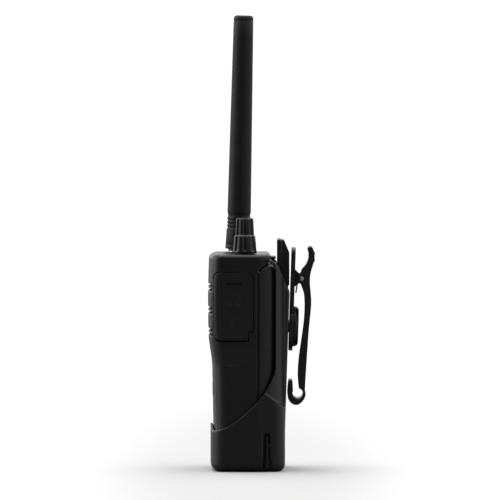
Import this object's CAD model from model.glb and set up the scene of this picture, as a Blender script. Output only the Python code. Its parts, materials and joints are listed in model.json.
"""Looks of a portable two-way radio standing in its belt holster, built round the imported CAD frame."""

import json
import math

import bmesh
import bpy
from mathutils import Matrix, Vector

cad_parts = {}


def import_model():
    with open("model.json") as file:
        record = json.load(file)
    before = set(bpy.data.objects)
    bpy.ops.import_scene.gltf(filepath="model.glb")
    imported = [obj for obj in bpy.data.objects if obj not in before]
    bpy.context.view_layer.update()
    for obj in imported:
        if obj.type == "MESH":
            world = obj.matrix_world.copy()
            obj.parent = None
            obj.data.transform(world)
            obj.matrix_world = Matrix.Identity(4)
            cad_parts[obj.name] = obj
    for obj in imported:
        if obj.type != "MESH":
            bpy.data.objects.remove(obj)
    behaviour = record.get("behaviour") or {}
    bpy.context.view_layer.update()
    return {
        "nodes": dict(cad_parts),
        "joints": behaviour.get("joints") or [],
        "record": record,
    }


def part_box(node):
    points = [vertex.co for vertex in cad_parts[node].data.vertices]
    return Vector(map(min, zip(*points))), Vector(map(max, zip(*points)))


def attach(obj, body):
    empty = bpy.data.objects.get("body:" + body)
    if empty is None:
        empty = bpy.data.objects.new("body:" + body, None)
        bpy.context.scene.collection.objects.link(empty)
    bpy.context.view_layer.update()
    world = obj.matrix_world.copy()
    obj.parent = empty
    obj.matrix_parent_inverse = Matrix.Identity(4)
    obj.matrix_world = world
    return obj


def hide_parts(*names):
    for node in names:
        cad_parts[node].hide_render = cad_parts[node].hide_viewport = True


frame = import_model()

MM = 0.001
NODES = frame["nodes"]


# ------------------------------------------------------------------ materials
def material(name):
    """A new node material, its Principled shader, its nodes and its linking function."""
    mat = bpy.data.materials.new(name)
    mat.use_nodes = True
    nodes = mat.node_tree.nodes
    links = mat.node_tree.links
    shader = nodes["Principled BSDF"]
    return mat, shader, nodes, links.new


def noise_node(nodes, link, coords, scale, detail, rough=0.55):
    """The value of a noise texture."""
    tex = nodes.new("ShaderNodeTexNoise")
    tex.inputs["Scale"].default_value = scale
    tex.inputs["Detail"].default_value = detail
    tex.inputs["Roughness"].default_value = rough
    link(coords, tex.inputs["Vector"])
    return tex.outputs["Fac"]


def ramp(nodes, link, factor, stops):
    """A colour ramp between two (place, colour) stops."""
    node = nodes.new("ShaderNodeValToRGB")
    for element, (place, colour) in zip(node.color_ramp.elements, stops):
        element.position = place
        element.color = colour + (1.0,)
    link(factor, node.inputs["Fac"])
    return node.outputs["Color"]


def spread(nodes, link, value, low, high):
    """A value from 0..1 mapped to low..high."""
    node = nodes.new("ShaderNodeMapRange")
    node.inputs["To Min"].default_value = low
    node.inputs["To Max"].default_value = high
    link(value, node.inputs["Value"])
    return node.outputs["Result"]


def bump_normal(nodes, link, height, strength, distance):
    """A normal roughened by a height."""
    bump = nodes.new("ShaderNodeBump")
    bump.inputs["Strength"].default_value = strength
    bump.inputs["Distance"].default_value = distance
    link(height, bump.inputs["Height"])
    return bump.outputs["Normal"]


def times(nodes, link, a, b):
    """The product of two values."""
    node = nodes.new("ShaderNodeMath")
    node.operation = "MULTIPLY"
    link(a, node.inputs[0])
    link(b, node.inputs[1])
    return node.outputs[0]


def grey(value):
    return (value, value, value)


def moulded(name, base, roughness, grain, depth, wear=1.6, tint=(1.0, 0.985, 0.96), specular=0.5):
    """Moulded plastic or rubber: spark-eroded grain, faint mottling, and edges rubbed a little paler."""
    mat, shader, nodes, link = material(name)
    coords = nodes.new("ShaderNodeTexCoord").outputs["Object"]
    fine = noise_node(nodes, link, coords, grain, 2.0)
    cloud = noise_node(nodes, link, coords, 45.0, 4.0)
    dark = tuple(base * 0.82 * c for c in tint)
    light = tuple(base * 1.22 * c for c in tint)
    body = ramp(nodes, link, cloud, [(0.3, dark), (0.7, light)])
    point = nodes.new("ShaderNodeNewGeometry").outputs["Pointiness"]
    edge = ramp(nodes, link, point, [(0.505, grey(0.0)), (0.56, grey(1.0))])
    scuff = noise_node(nodes, link, coords, 320.0, 5.0, 0.7)
    mix = nodes.new("ShaderNodeMix")
    mix.data_type = "RGBA"
    link(times(nodes, link, edge, scuff), mix.inputs["Factor"])
    link(body, mix.inputs["A"])
    mix.inputs["B"].default_value = tuple(base * wear * c for c in tint) + (1.0,)
    link(mix.outputs["Result"], shader.inputs["Base Color"])
    link(spread(nodes, link, cloud, roughness - 0.05, roughness + 0.06), shader.inputs["Roughness"])
    shader.inputs["Specular IOR Level"].default_value = specular
    link(bump_normal(nodes, link, fine, 0.35, depth), shader.inputs["Normal"])
    return mat


def metal(name, colour, roughness, stretch=(1.0, 1.0, 30.0)):
    """Machined or drawn metal with fine tool lines."""
    mat, shader, nodes, link = material(name)
    coords = nodes.new("ShaderNodeTexCoord").outputs["Object"]
    mapping = nodes.new("ShaderNodeMapping")
    mapping.inputs["Scale"].default_value = stretch
    link(coords, mapping.inputs["Vector"])
    lines = noise_node(nodes, link, mapping.outputs["Vector"], 900.0, 3.0)
    dark = tuple(c * 0.8 for c in colour)
    link(ramp(nodes, link, lines, [(0.3, dark), (0.7, colour)]), shader.inputs["Base Color"])
    shader.inputs["Metallic"].default_value = 1.0
    link(spread(nodes, link, lines, roughness - 0.06, roughness + 0.1), shader.inputs["Roughness"])
    link(bump_normal(nodes, link, lines, 0.2, 0.00003), shader.inputs["Normal"])
    return mat


MAT = {
    "holster_plastic": moulded("holster plastic", 0.0095, 0.42, 5200.0, 0.00006),
    "housing_plastic": moulded("housing plastic", 0.0075, 0.36, 6000.0, 0.00005),
    "battery_plastic": moulded("battery plastic", 0.0080, 0.38, 6000.0, 0.00005),
    "clip_plastic": moulded("clip plastic", 0.0095, 0.40, 5600.0, 0.00004),
    "knob_plastic": moulded("knob plastic", 0.0110, 0.27, 7000.0, 0.00002),
    "button_rubber": moulded("button rubber", 0.0100, 0.55, 5200.0, 0.00004, specular=0.35),
    "cover_rubber": moulded("cover rubber", 0.0070, 0.42, 5200.0, 0.00004),
    "antenna_rubber": moulded("antenna jacket", 0.0110, 0.52, 4200.0, 0.00005, specular=0.35),
    "seal_rubber": moulded("seal rubber", 0.008, 0.60, 5000.0, 0.00003, specular=0.3),
    "component_black": moulded("component moulding", 0.012, 0.42, 5000.0, 0.00003),
    "speaker_paper": moulded("speaker paper", 0.045, 0.85, 2600.0, 0.00008, specular=0.2),
    "mesh_cloth": moulded("dust mesh", 0.006, 0.85, 2400.0, 0.00012, specular=0.2),
    "cell_wrap": moulded("cell sleeve", 0.09, 0.35, 3000.0, 0.00002, tint=(0.5, 0.8, 1.4)),
    "circuit_board": moulded("circuit board", 0.06, 0.35, 2600.0, 0.00003, tint=(0.25, 1.5, 0.6)),
    "fibre_rod": moulded("fibre rod", 0.55, 0.45, 3000.0, 0.00003),
    "indicator": moulded("indicator lens", 0.020, 0.10, 4000.0, 0.00001, tint=(1.6, 0.8, 0.7)),
    "steel": metal("steel", (0.62, 0.62, 0.63), 0.28),
    "spring_steel": metal("spring steel", (0.36, 0.36, 0.37), 0.34),
    "chassis_metal": metal("cast alloy", (0.56, 0.57, 0.58), 0.46, (1.0, 1.0, 1.0)),
    "brass": metal("brass", (0.78, 0.60, 0.30), 0.30),
    "contact_gold": metal("contact gold", (0.90, 0.66, 0.26), 0.24),
}
SLOT_OF = {row["node"]: row["material_slot"] for row in frame["record"]["subparts"]}
BODY_OF = {node: body for body, names in frame["record"]["behaviour"]["bodies"].items() for node in names}

for name, obj in NODES.items():
    obj.data.materials.clear()
    obj.data.materials.append(MAT[SLOT_OF[name]])


# ------------------------------------------------------------------ mesh helpers
def link_object(name, mesh):
    obj = bpy.data.objects.new(name, mesh)
    bpy.context.scene.collection.objects.link(obj)
    return obj


def shade_smooth(mesh):
    mesh.polygons.foreach_set("use_smooth", [True] * len(mesh.polygons))
    mesh.update()


def settle(obj):
    """Applies the object's modifiers and puts the result in its place."""
    depsgraph = bpy.context.evaluated_depsgraph_get()
    mesh = bpy.data.meshes.new_from_object(obj.evaluated_get(depsgraph), depsgraph=depsgraph)
    obj.modifiers.clear()
    old = obj.data
    obj.data = mesh
    bpy.data.meshes.remove(old)


def finish_piece(obj, node):
    """Gives a new piece the material and body of the CAD node it stands for."""
    obj.data.materials.clear()
    obj.data.materials.append(MAT[SLOT_OF[node]])
    shade_smooth(obj.data)
    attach(obj, BODY_OF[node])
    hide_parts(node)


def copy_of(node):
    """A copy of a CAD node's mesh, in the shared frame."""
    source = NODES[node]
    mesh = source.data.copy()
    mesh.transform(source.matrix_world)
    return mesh


def soften(node, voxel, passes, relief=None):
    """The node's own shape with its edges eased by moulding and handling, and with relief if given."""
    obj = link_object(node + "_moulded", copy_of(node))
    remesh = obj.modifiers.new("remesh", "REMESH")
    remesh.mode = "VOXEL"
    remesh.voxel_size = voxel * MM
    smooth = obj.modifiers.new("ease", "SMOOTH")
    smooth.factor = 0.5
    smooth.iterations = passes
    settle(obj)
    if relief:
        engrave(obj.data, *relief)
    finish_piece(obj, node)


OUTWARD_MIN = 0.6  # how squarely a point must face the side to belong to the outer skin
SKIN_DEPTH = 1.0  # millimetres below the outermost point that still count as skin


def engrave(mesh, side, depth_at):
    """Sinks the outer skin that faces side (+1 or -1 along X) by depth_at(y, z), all in millimetres."""
    places = [vertex.co.copy() for vertex in mesh.vertices]
    facing = [side * normal.vector.x for normal in mesh.vertex_normals]
    outermost = max(side * place.x for place in places)
    for place, outward in zip(places, facing):
        if outward > OUTWARD_MIN and side * place.x > outermost - SKIN_DEPTH * MM:
            place.x -= side * MM * depth_at(place.y / MM, place.z / MM)
    mesh.vertices.foreach_set("co", [value for place in places for value in place])
    mesh.update()


def bridge_rings(bm, rings):
    """Faces between successive rings, where a ring of one vertex is a pole."""
    for low, high in zip(rings, rings[1:]):
        count = max(len(low), len(high))
        for n in range(count):
            m = (n + 1) % count
            if len(low) == 1:
                bm.faces.new((low[0], high[m], high[n]))
            elif len(high) == 1:
                bm.faces.new((low[n], low[m], high[0]))
            else:
                bm.faces.new((low[n], low[m], high[m], high[n]))
    bmesh.ops.recalc_face_normals(bm, faces=bm.faces)


def lathe(name, profile, frame_matrix, segments=96, radius_at=lambda radius, height, angle: radius):
    """A closed turned shape from (radius, height) points in millimetres, bottom to top.

    radius_at may change the radius with the angle, and a radius of zero is a pole.
    """
    bm = bmesh.new()
    rings = []
    for radius, height in profile:
        if radius == 0.0:
            rings.append([bm.verts.new((0, 0, height * MM))])
            continue
        ring = []
        for n in range(segments):
            angle = 2 * math.pi * n / segments
            r = radius_at(radius, height, angle) * MM
            ring.append(bm.verts.new((r * math.cos(angle), r * math.sin(angle), height * MM)))
        rings.append(ring)
    bridge_rings(bm, rings)
    mesh = bpy.data.meshes.new(name)
    bm.to_mesh(mesh)
    bm.free()
    mesh.transform(frame_matrix)
    return link_object(name, mesh)


# ------------------------------------------------------------------ relief drawn by distance
def groove(distance, half_width, depth):
    """Depth of a round-bottomed groove at a distance from its middle line."""
    t = abs(distance) / half_width
    return depth * (1 - t * t) if t < 1 else 0.0


def step_down(distance, blend, depth):
    """Depth of a panel whose edge is at distance 0, negative inside, with a blended shoulder."""
    t = min(max(0.5 - distance / blend, 0.0), 1.0)
    return depth * t * t * (3 - 2 * t)


def to_box(y, z, y_range, z_range, radius):
    """Signed distance to a rounded rectangle."""
    dy = abs(y - sum(y_range) / 2) - (y_range[1] - y_range[0]) / 2 + radius
    dz = abs(z - sum(z_range) / 2) - (z_range[1] - z_range[0]) / 2 + radius
    return math.hypot(max(dy, 0), max(dz, 0)) + min(max(dy, dz), 0) - radius


def to_stroke(y, z, a, b):
    """Distance to a straight stroke."""
    dy, dz = b[0] - a[0], b[1] - a[1]
    t = ((y - a[0]) * dy + (z - a[1]) * dz) / (dy * dy + dz * dz)
    t = min(max(t, 0.0), 1.0)
    return math.hypot(y - a[0] - t * dy, z - a[1] - t * dz)


def to_arch(y, z, centre, radius, upward):
    """Distance to a half circle that opens down (upward 1) or up (upward -1)."""
    if (z - centre[1]) * upward >= 0:
        return abs(math.hypot(y - centre[0], z - centre[1]) - radius)
    return math.hypot(abs(y - centre[0]) - radius, z - centre[1])


SYMBOL_Y = -7.6  # middle of the two pictograms on the cover


def cover_relief(y, z):
    """A sunk panel inside the cover's border, with plain headset and microphone pictograms."""
    depth = step_down(to_box(y, z, (-16.5, 0.2), (73.2, 105.2), 3.0), 0.6, 0.22)
    band = min(
        to_arch(y, z, (SYMBOL_Y, 92.4), 3.8, 1),
        to_stroke(y, z, (SYMBOL_Y - 3.8, 92.4), (SYMBOL_Y - 3.8, 90.2)),
        to_stroke(y, z, (SYMBOL_Y + 3.8, 92.4), (SYMBOL_Y + 3.8, 90.2)),
    )
    depth += groove(band, 0.42, 0.18)
    left_cup = to_stroke(y, z, (SYMBOL_Y - 2.1, 92.1), (SYMBOL_Y - 2.1, 90.4))
    right_cup = to_stroke(y, z, (SYMBOL_Y + 2.1, 92.1), (SYMBOL_Y + 2.1, 90.4))
    cups = min(left_cup, right_cup)
    depth += groove(cups, 0.75, 0.34)
    capsule = to_stroke(y, z, (SYMBOL_Y, 82.6), (SYMBOL_Y, 80.9))
    depth += groove(capsule, 0.95, 0.30)
    stand = min(
        to_arch(y, z, (SYMBOL_Y, 81.0), 1.75, -1),
        to_stroke(y, z, (SYMBOL_Y, 79.2), (SYMBOL_Y, 78.0)),
        to_stroke(y, z, (SYMBOL_Y - 1.5, 77.9), (SYMBOL_Y + 1.5, 77.9)),
    )
    return depth + groove(stand, 0.34, 0.18)


def talk_relief(y, z):
    """Finger grooves across the long talk button."""
    lines = [to_stroke(y, z, (-9.2, 86.75 + n * 2.4), (-3.8, 86.75 + n * 2.4)) for n in (-2, -1, 0, 1, 2)]
    return groove(min(lines), 0.55, 0.40)


def upper_relief(y, z):
    """One round mark on the upper side button."""
    return groove(math.hypot(y + 6.5, z - 104.25), 1.3, 0.35)


def lower_relief(y, z):
    """Two round marks on the lower side button."""
    return groove(min(math.hypot(y + 6.5, z - zz) for zz in (66.8, 69.7)), 0.95, 0.35)


# ------------------------------------------------------------------ moulded pieces
for node, voxel, passes, relief in (
    ("holster_shell", 0.42, 4, None),
    ("front_housing", 0.34, 3, None),
    ("battery_case", 0.42, 3, None),
    ("jack_cover", 0.17, 3, (1, cover_relief)),
    ("latch_tongue", 0.25, 4, None),
    ("clip_plate", 0.25, 3, None),
    ("clip_arm", 0.25, 4, None),
    ("swivel_cap", 0.25, 3, None),
    ("ptt_button", 0.20, 3, (-1, talk_relief)),
    ("upper_side_button", 0.20, 3, (-1, upper_relief)),
    ("lower_side_button", 0.20, 3, (-1, lower_relief)),
    ("name_badge", 0.2, 2, None),
):
    soften(node, voxel, passes, relief)


# ------------------------------------------------------------------ turned pieces
def middle_of(node):
    """A matrix that moves the origin to the middle of the node's box, at height zero."""
    low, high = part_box(node)
    return Matrix.Translation(((low[0] + high[0]) / 2, (low[1] + high[1]) / 2, 0.0))


FLUTES = 8
SCOOP_R = 1.75  # radius of the cutter that makes a flute
SCOOP_OUT = 0.95  # how far outside the knob's foot the cutter's middle runs
SCOOP_EASE = 0.45  # rounding where a flute meets the rib beside it


def scooped(radius, angle, base_r, amount):
    """The radius at an angle once round scoops are cut from the side, with eased edges."""
    pitch = 2 * math.pi / FLUTES
    off = (angle + pitch / 2) % pitch - pitch / 2
    centre = base_r + SCOOP_OUT
    inside = SCOOP_R**2 - (centre * math.sin(off)) ** 2
    if inside <= 0 or amount <= 0:
        return radius
    cut = centre * math.cos(off) - math.sqrt(inside)
    cut = radius + (cut - radius) * amount + (1 - amount)
    h = min(max(0.5 + 0.5 * (cut - radius) / SCOOP_EASE, 0.0), 1.0)
    return cut * (1 - h) + radius * h - SCOOP_EASE * h * (1 - h)


def fluted_knob(node, top_r, rounding):
    """A tapered knob: plain skirt, scooped flutes, rounded crown, dished top."""
    low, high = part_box(node)
    base_r = (high[0] - low[0]) / 2 / MM
    z0, z1 = low[2] / MM, high[2] / MM
    skirt = z0 + 1.3
    profile = [(0.0, z0 + 0.9), (4.4, z0 + 0.9), (4.5, z0), (base_r - 0.25, z0), (base_r, z0 + 0.25)]
    profile += [(base_r, skirt - 0.15)]
    side = 14
    for n in range(side + 1):
        t = n / side
        profile.append((base_r + (top_r - base_r) * t, skirt + (z1 - rounding - skirt) * t))
    for n in range(1, 7):
        a = math.pi / 2 * n / 6
        profile.append((top_r - rounding * (1 - math.cos(a)), z1 - rounding * (1 - math.sin(a))))
    dish = top_r - rounding - 0.5
    profile += [(dish + 0.1, z1), (dish - 0.2, z1 - 0.28), (dish * 0.5, z1 - 0.32), (0.0, z1 - 0.32)]

    def radius_at(radius, z, angle):
        amount = min(max((z - z0 - 0.5) / 1.3, 0.0), 1.0) if radius > dish else 0.0
        slope = base_r - radius
        r = scooped(radius + slope, angle, base_r, amount) - slope
        return min(radius, r) if radius < top_r - rounding * 0.3 else r

    finish_piece(lathe(node + "_fluted", profile, middle_of(node), 192, radius_at), node)


fluted_knob("volume_knob", 5.9, 1.2)
fluted_knob("channel_knob", 4.85, 1.1)

# The antenna's own frame: its turning axis, with heights counted from the joint.
turn = next(j for j in frame["joints"] if j["child"] == "antenna")
along_axis = Vector(turn["axis"]).to_track_quat("Z", "Y").to_matrix().to_4x4()
ANTENNA = Matrix.Translation(turn["pos_m"]) @ along_axis


def antenna_jacket():
    """Tapered whip with a domed end cap, three grip rings, and a flared boot."""
    points = [(0.0, 2.6), (6.9, 2.6), (7.08, 2.85), (7.12, 3.4), (7.02, 4.5), (6.9, 4.65), (7.0, 4.85)]
    points += [(6.85, 8.8), (6.66, 13.0), (6.5, 13.6), (6.15, 13.8)]
    ring = [(6.1, 0.4), (6.25, 0.75), (6.4, 0.95), (6.42, 1.3), (6.4, 1.6), (6.25, 1.8), (6.1, 1.95)]
    for foot in (13.9, 15.9, 17.9):
        points += [(radius, foot + height) for radius, height in ring]
    points += [(6.02, 20.3), (6.02, 20.9), (6.15, 21.7), (6.32, 22.3), (6.38, 23.0)]
    cap = 126.5
    for n in range(1, 13):
        t = n / 12
        points.append((6.38 + (5.36 - 6.38) * t, 23.0 + (cap - 23.0) * t))
    points += [(5.22, cap + 0.12), (5.22, cap + 0.3), (5.34, cap + 0.42), (5.34, 127.75)]
    dome = 1.72
    for n in range(1, 8):
        a = math.pi / 2 * n / 7
        points.append((5.34 - dome + dome * math.cos(a), 127.75 + dome * math.sin(a)))
    points += [(1.6, 129.48), (0.0, 129.48)]
    finish_piece(lathe("antenna_jacket", points, ANTENNA), "antenna_whip")


def antenna_stud():
    """Plated ferrule with a rolled edge that shows between the boot and the deck."""
    points = [(0.0, -4.8), (2.6, -4.8), (3.0, -4.4), (3.0, 2.1), (5.4, 2.1), (5.6, 2.2), (5.6, 2.4)]
    points += [(5.4, 2.5), (3.95, 2.5), (3.95, 11.8), (0.0, 11.8)]
    finish_piece(lathe("antenna_stud", points, ANTENNA), "antenna_ferrule")


def pivot_pin():
    """Riveted pin of the clip, with domed heads."""
    low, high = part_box("clip_pin")
    half = (high[0] - low[0]) / 2 / MM
    r = (high[2] - low[2]) / 2 / MM
    points = [(0.0, -half), (r * 0.45, -half + 0.03), (r * 0.8, -half + 0.14), (r, -half + 0.4)]
    points += [(radius, -height) for radius, height in reversed(points)]
    place = Matrix.Translation((Vector(low) + Vector(high)) / 2) @ Matrix.Rotation(math.pi / 2, 4, "Y")
    finish_piece(lathe("pivot_pin", points, place, 48), "clip_pin")


def led_lens():
    """Domed light pipe beside the knobs."""
    low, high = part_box("status_led")
    r = (high[0] - low[0]) / 2 / MM
    z0, z1 = low[2] / MM, high[2] / MM
    points = [(0.0, z0), (r, z0), (r, z1 - 0.6)]
    points += [(r * math.cos(a), z1 - 0.6 + 0.6 * math.sin(a)) for a in (0.3, 0.6, 0.9, 1.2)]
    points += [(0.0, z1)]
    finish_piece(lathe("led_lens", points, middle_of("status_led"), 48), "status_led")


antenna_jacket()
antenna_stud()
pivot_pin()
led_lens()


# ------------------------------------------------------------------ stage, light and camera
def area_light(name, place, target, size, power, colour=(1.0, 1.0, 1.0)):
    """A rectangular lamp at a place, turned to its target, with its power in watts."""
    data = bpy.data.lights.new(name, "AREA")
    data.shape = "RECTANGLE"
    data.size, data.size_y = size
    data.energy = power
    data.color = colour
    lamp = bpy.data.objects.new(name, data)
    bpy.context.scene.collection.objects.link(lamp)
    lamp.location = place
    lamp.rotation_euler = (Vector(target) - Vector(place)).to_track_quat("-Z", "Y").to_euler()


BACKDROP = 1.05  # strength of the white that the camera sees behind the object
FLOOR_SEEN = 0.76  # tone of the paper as the camera sees it
FLOOR_BOUNCE = 0.22  # tone of the paper as the object's light sees it
SHADE_STRETCH = (0.12, 1.0, 1.0)  # the shade reaches forward more than sideways
SHADE_FROM, SHADE_TO = 0.03, 0.11  # metres sideways over which the paper turns white


def smooth_range(nodes, links, value, low, high, out_low, out_high, kind="SMOOTHSTEP"):
    """A ramp from out_low at low to out_high at high."""
    node = nodes.new("ShaderNodeMapRange")
    node.interpolation_type = kind
    node.inputs["From Min"].default_value = low
    node.inputs["From Max"].default_value = high
    node.inputs["To Min"].default_value = out_low
    node.inputs["To Max"].default_value = out_high
    links.new(value, node.inputs["Value"])
    return node.outputs["Result"]


def floor():
    """Matt paper near the object that fades into the white background."""
    bm = bmesh.new()
    bmesh.ops.create_circle(bm, cap_ends=True, radius=25.0, segments=96)
    mesh = bpy.data.meshes.new("floor")
    bm.to_mesh(mesh)
    bm.free()
    obj = link_object("floor", mesh)
    mat = bpy.data.materials.new("floor")
    mat.use_nodes = True
    nodes = mat.node_tree.nodes
    links = mat.node_tree.links
    nodes.clear()
    seen = nodes.new("ShaderNodeLightPath").outputs["Is Camera Ray"]
    paper = nodes.new("ShaderNodeBsdfDiffuse")
    links.new(spread(nodes, links.new, seen, FLOOR_BOUNCE, FLOOR_SEEN), paper.inputs["Color"])
    glow = nodes.new("ShaderNodeEmission")
    glow.inputs["Strength"].default_value = BACKDROP
    place = nodes.new("ShaderNodeNewGeometry").outputs["Position"]
    stretched = nodes.new("ShaderNodeVectorMath")
    stretched.operation = "MULTIPLY"
    stretched.inputs[1].default_value = SHADE_STRETCH
    links.new(place, stretched.inputs[0])
    reach = nodes.new("ShaderNodeVectorMath")
    reach.operation = "LENGTH"
    links.new(stretched.outputs[0], reach.inputs[0])
    fade = smooth_range(nodes, links, reach.outputs["Value"], SHADE_FROM, SHADE_TO, 0.0, 1.0)
    blend = nodes.new("ShaderNodeMixShader")
    links.new(times(nodes, links.new, fade, seen), blend.inputs[0])
    links.new(paper.outputs[0], blend.inputs[1])
    links.new(glow.outputs[0], blend.inputs[2])
    out = nodes.new("ShaderNodeOutputMaterial")
    links.new(blend.outputs[0], out.inputs["Surface"])
    obj.data.materials.append(mat)


def world():
    """A white room, dark on the side that the object's +X flank faces, most sharply towards the front."""
    scene_world = bpy.data.worlds.new("studio")
    bpy.context.scene.world = scene_world
    scene_world.use_nodes = True
    nodes = scene_world.node_tree.nodes
    links = scene_world.node_tree.links
    back = nodes["Background"]
    coords = nodes.new("ShaderNodeTexCoord").outputs["Generated"]
    split = nodes.new("ShaderNodeSeparateXYZ")
    links.new(coords, split.inputs[0])
    front_half = smooth_range(nodes, links, split.outputs["X"], -0.10, 0.72, 1.25, 0.015)
    away = smooth_range(nodes, links, split.outputs["X"], -0.10, 1.0, 1.0, 0.0, "LINEAR")
    rear_half = nodes.new("ShaderNodeMath")
    rear_half.operation = "POWER"
    links.new(away, rear_half.inputs[0])
    rear_half.inputs[1].default_value = 0.75
    half = smooth_range(nodes, links, split.outputs["Y"], -0.15, 0.15, 0.0, 1.0)
    room = nodes.new("ShaderNodeMix")
    links.new(half, room.inputs["Factor"])
    links.new(front_half, room.inputs["A"])
    links.new(rear_half.outputs[0], room.inputs["B"])
    seen = nodes.new("ShaderNodeLightPath").outputs["Is Camera Ray"]
    mix = nodes.new("ShaderNodeMix")
    links.new(seen, mix.inputs["Factor"])
    links.new(room.outputs["Result"], mix.inputs["A"])
    mix.inputs["B"].default_value = BACKDROP
    links.new(mix.outputs["Result"], back.inputs["Strength"])
    back.inputs["Color"].default_value = (1.0, 1.0, 1.0, 1.0)


floor()
world()
area_light("overhead", (-0.25, 0.0, 1.5), (0, 0, 0.05), (1.2, 1.6), 9.0)
area_light("front softbox", (-0.1, -1.2, 0.5), (0, 0, 0.1), (0.7, 1.0), 3.0, (1.0, 0.97, 0.93))

TARGET = Vector((0.03, 0.0012, 0.1196))
DISTANCE = 4.0
ELEVATION = math.radians(2.0)
FRAME_WIDTH = 0.2687  # metres across the picture at the target
SENSOR = 36.0  # millimetres
camera_data = bpy.data.cameras.new("camera")
camera_data.sensor_width = SENSOR
camera_data.lens = SENSOR * DISTANCE / FRAME_WIDTH
camera = bpy.data.objects.new("camera", camera_data)
bpy.context.scene.collection.objects.link(camera)
camera.location = TARGET + DISTANCE * Vector((math.cos(ELEVATION), 0.0, math.sin(ELEVATION)))
camera.rotation_euler = (TARGET - camera.location).to_track_quat("-Z", "Y").to_euler()
bpy.context.scene.camera = camera
bpy.context.scene.view_settings.view_transform = "Standard"
